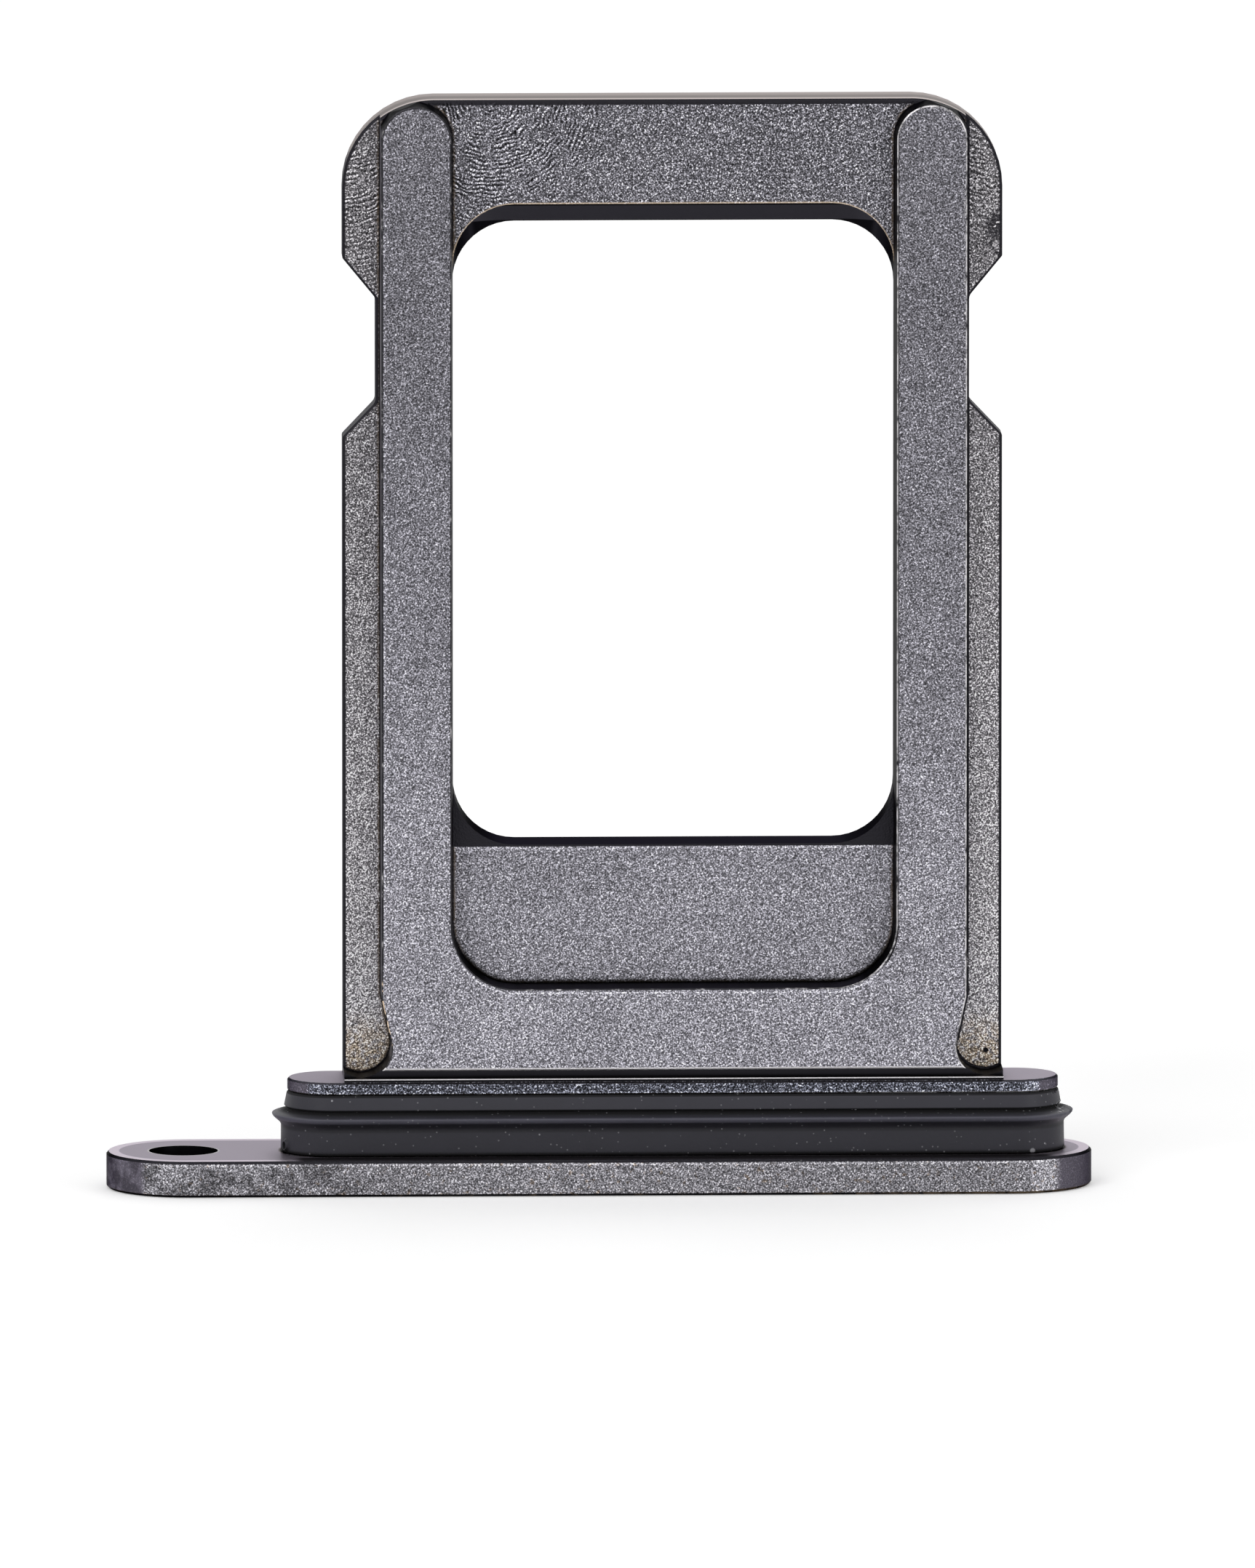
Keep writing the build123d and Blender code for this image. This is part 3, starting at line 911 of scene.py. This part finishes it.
def seal_profile(settings, crest, height):
    """Radius and height round the ring's section, which closes on itself.

    The outer side is a band below and a tapering band above, joined at the ridge's height by a cosine step.
    Added to it is the ridge, a raised cosine with its own width below and above the crest. Taken from it are a
    narrow cosine groove above the ridge and the rounding of both ends.
    """
    up = np.linspace(0.0, height, 120)
    from_crest = up - settings.ridge_height
    band, waist = crest - settings.band_in, crest - settings.waist_in
    above = smooth_rise(from_crest / settings.ridge_above + 0.5)
    tapered = settings.taper * np.clip(from_crest / (height - settings.ridge_height), 0.0, 1.0)
    base = band + (waist - band) * above - tapered
    width = np.where(from_crest < 0.0, settings.ridge_below, settings.ridge_above)
    ridge = (crest - base) * smooth_rise(1.0 - np.abs(from_crest) / width) ** 1.25
    groove_half = 0.60 * settings.groove_rise
    groove_share = smooth_rise(1.0 - np.abs(from_crest - settings.groove_rise) / groove_half)
    groove = settings.groove_depth * groove_share
    from_end = np.minimum(up, height - up) / settings.foot_round
    rounding = settings.foot_round * (1 - np.sqrt(1 - np.clip(1 - from_end, 0, 1) ** 2))
    outer = base + ridge - rounding - groove
    inner = crest - settings.hole_in
    inward = np.linspace(outer[-1], inner, 6)[1:]
    down = np.linspace(height, 0.0, 8)[1:]
    outward = np.linspace(inner, outer[0], 6)[1:-1]
    radius = np.concatenate([outer, inward, np.full_like(down, inner), outward])
    level = np.concatenate([up, np.full_like(inward, height), down, np.zeros_like(outward)])
    return radius, level, len(up)


def ring_mesh(name, points):
    """A closed ring of quads that face outwards, from a grid of points by steps round and of the section."""
    rounds, steps = points.shape[:2]
    index = np.arange(rounds * steps).reshape(rounds, steps)
    ahead = np.roll(index, -1, axis=0)
    faces = np.stack([index, ahead, np.roll(ahead, -1, axis=1), np.roll(index, -1, axis=1)], axis=2)
    mesh = bpy.data.meshes.new(name)
    mesh.from_pydata(points.reshape(-1, 3), [], faces.reshape(-1, 4))
    mesh.polygons.foreach_set("use_smooth", np.ones(rounds * steps, dtype=bool))
    mesh.update()
    piece = bpy.data.objects.new(name, mesh)
    bpy.context.scene.collection.objects.link(piece)
    return piece


def make_seal(settings):
    """The seal ring: its section carried round a slot outline.

    Three things vary its outer side. A slight wave is two sines of the turn. The nub is a low ring of its own,
    h * exp(-((r - size) / w)^2) at the distance r from its middle. The ragged nicks in the lip and the ridge at the
    right end are sines of the turn and the height, of which only the positive part is cut away.
    """
    crest = (SEAL_HIGH.y - SEAL_LOW.y) / 2
    run = (SEAL_HIGH.x - SEAL_LOW.x) / 2 - crest
    middle = (SEAL_HIGH.x + SEAL_LOW.x) / 2
    height = SEAL_HIGH.z - SEAL_LOW.z
    nub, size = settings.nub_turn, settings.nub_size
    feet, turn = slot_outline(run, 150, 90, nub, 2.2 * size / crest)
    directions = np.concatenate([np.cos(turn), np.sin(turn)], axis=1)
    radius, level, outer_steps = seal_profile(settings, crest, height)
    outside = np.arange(len(radius)) < outer_steps
    bulge = np.zeros_like(radius)
    bulge[:outer_steps] = np.sin(np.linspace(0.0, math.pi, outer_steps))
    wave = 0.0035 * MM * (np.sin(4.0 * turn + feet[:, :1] / crest) + 0.6 * np.sin(9.0 * turn)) - 0.006 * MM

    nub_height, nub_width, nub_rise = 0.045 * MM, 0.28 * size, 1.8 * size
    off = np.hypot((turn - nub) * crest, level - nub_rise)
    raised = nub_height * np.exp(-(((off - size) / nub_width) ** 2))

    at_end = np.exp(-((turn / 0.55) ** 2)) * (feet[:, :1] > 0.99 * run)
    at_ridge = smooth_rise(1.0 - np.abs(level - settings.ridge_height - 0.05 * MM) / (0.16 * MM))
    at_lip = smooth_rise((level - height + 0.10 * MM) / (0.05 * MM))
    ragged = np.sin(31 * turn + 2.0) * np.sin(17 * turn + level / (0.02 * MM)) + 0.5 * np.sin(53 * turn)
    nicks = 0.055 * MM * np.clip(ragged, 0.0, 1.0) * at_end * (at_ridge + at_lip) * outside

    reach = radius + wave * bulge + raised - nicks
    points = np.empty((len(feet), len(radius), 3))
    points[..., :2] = feet[:, None, :] + directions[:, None, :] * reach[..., None]
    points[..., 0] += middle
    points[..., 2] = SEAL_LOW.z + level[None, :]
    return ring_mesh("seal_ring", points)


# Operators


class CARDTRAY_OT_steel(bpy.types.Operator):
    """Give the machined tray its steel finishes"""

    bl_idname = "cardtray.steel"
    bl_label = "Finish the Steel"

    def execute(self, context):
        scene = context.scene
        material = steel_material(scene.tray_sizes, scene.steel_finish)
        frame["nodes"]["tray"].material_slots[0].material = material
        return {"FINISHED"}


class CARDTRAY_OT_seal(bpy.types.Operator):
    """Make the rubber seal ring round the neck"""

    bl_idname = "cardtray.seal"
    bl_label = "Make the Seal Ring"

    def execute(self, context):
        settings = context.scene.seal_settings
        seal = make_seal(settings)
        seal.data.materials.append(rubber_material(settings))
        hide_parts("seal")
        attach(seal, "root")
        return {"FINISHED"}


def add_lamp(name, place, aim, size, power):
    """A square soft lamp, with its place and aim in millimetres."""
    light = bpy.data.lights.new(name, "AREA")
    light.size = size * MM
    light.energy = power
    lamp = bpy.data.objects.new(name, light)
    lamp.location = Vector(place) * MM
    lamp.rotation_euler = (Vector(place) - Vector(aim)).to_track_quat("Z", "Y").to_euler()
    lamp.visible_camera = False
    bpy.context.scene.collection.objects.link(lamp)
    return lamp


def seen_directly(w):
    """1 for light paths that show the backdrop: to the camera, or by way of a shiny or clear surface."""
    path = w.put("LightPath", {})
    return w.largest(path["Is Camera Ray"], path["Is Glossy Ray"], path["Is Transmission Ray"])


def make_world(scene):
    """A white backdrop that lights the tray more gently than it shows."""
    world = bpy.data.worlds.new("studio")
    world.use_nodes = True
    w = Wiring(world.node_tree)
    background = world.node_tree.nodes["Background"]
    background.inputs["Color"].default_value = (1.0, 1.0, 1.0, 1.0)
    w.feed(background.inputs["Strength"], w.blend_value(seen_directly(w), 0.60, 1.0))
    scene.world = world


def make_floor(settings):
    """A plain pale floor that runs out of the picture."""
    half = 1.2
    corners = np.array([(-half, -half), (half, -half), (half, half), (-half, half)])
    points = np.column_stack([corners, np.full(4, TRAY_LOW.z - 0.01 * MM)])
    mesh = bpy.data.meshes.new("floor")
    mesh.from_pydata(points, [], [(0, 1, 2, 3)])
    material, w, shader = new_material("floor_white")
    shader.inputs["Base Color"].default_value = (*settings.floor_colour, 1.0)
    shader.inputs["Roughness"].default_value = 0.9
    shader.inputs["Emission Color"].default_value = (1.0, 1.0, 1.0, 1.0)
    to_camera = w.put("LightPath", {})["Is Camera Ray"]
    w.feed(shader.inputs["Emission Strength"], w.times(to_camera, 0.25))
    mesh.materials.append(material)
    floor = bpy.data.objects.new("floor", mesh)
    bpy.context.scene.collection.objects.link(floor)


def make_camera(scene, settings):
    """A long lens at the photograph's angle. Away is the direction from the aim to the camera."""
    a, e = settings.azimuth, settings.elevation
    away = Vector((math.sin(a) * math.cos(e), -math.cos(a) * math.cos(e), math.sin(e)))
    data = bpy.data.cameras.new("camera")
    data.lens = data.sensor_width * settings.distance / settings.view_height
    data.clip_start, data.clip_end = 0.05, 20.0
    camera = bpy.data.objects.new("camera", data)
    camera.location = Vector((settings.aim_x, 0.0, settings.aim_z)) + away * settings.distance
    camera.rotation_euler = away.to_track_quat("Z", "Y").to_euler()
    scene.collection.objects.link(camera)
    scene.camera = camera


class CARDTRAY_OT_stage(bpy.types.Operator):
    """Set up the floor, the soft lamps and the camera"""

    bl_idname = "cardtray.stage"
    bl_label = "Set the Stage"

    def execute(self, context):
        scene = context.scene
        settings = scene.stage_settings
        make_camera(scene, settings)
        make_world(scene)
        make_floor(settings)
        middle = (0.0, 0.0, 8.0)
        add_lamp("key_lamp", (-300, -480, 500), middle, 360, 1.7)
        add_lamp("fill_lamp", (480, -440, 160), middle, 360, 0.7)
        add_lamp("rim_lamp", (80, 440, 520), middle, 360, 0.5)
        scene.view_settings.view_transform = "Standard"
        return {"FINISHED"}


class CARDTRAY_PT_panel(bpy.types.Panel):
    """Lists the steps in order"""

    bl_idname = "CARDTRAY_PT_panel"
    bl_label = "Card Tray"
    bl_space_type = "VIEW_3D"
    bl_region_type = "UI"
    bl_category = "Card Tray"

    def draw(self, context):
        for operator in OPERATORS:
            self.layout.operator(operator.bl_idname)


SETTINGS = {
    "tray_sizes": TraySizes,
    "steel_finish": SteelFinish,
    "seal_settings": SealSettings,
    "stage_settings": StageSettings,
}
OPERATORS = (CARDTRAY_OT_steel, CARDTRAY_OT_seal, CARDTRAY_OT_stage)


def register():
    for cls in (*SETTINGS.values(), *OPERATORS, CARDTRAY_PT_panel):
        bpy.utils.register_class(cls)
    for name, group in SETTINGS.items():
        setattr(bpy.types.Scene, name, bpy.props.PointerProperty(type=group))


def unregister():
    for name in SETTINGS:
        delattr(bpy.types.Scene, name)
    for cls in reversed((*SETTINGS.values(), *OPERATORS, CARDTRAY_PT_panel)):
        bpy.utils.unregister_class(cls)


def main():
    register()
    bpy.ops.cardtray.steel()
    bpy.ops.cardtray.seal()
    bpy.ops.cardtray.stage()


if __name__ == "__main__":
    main()
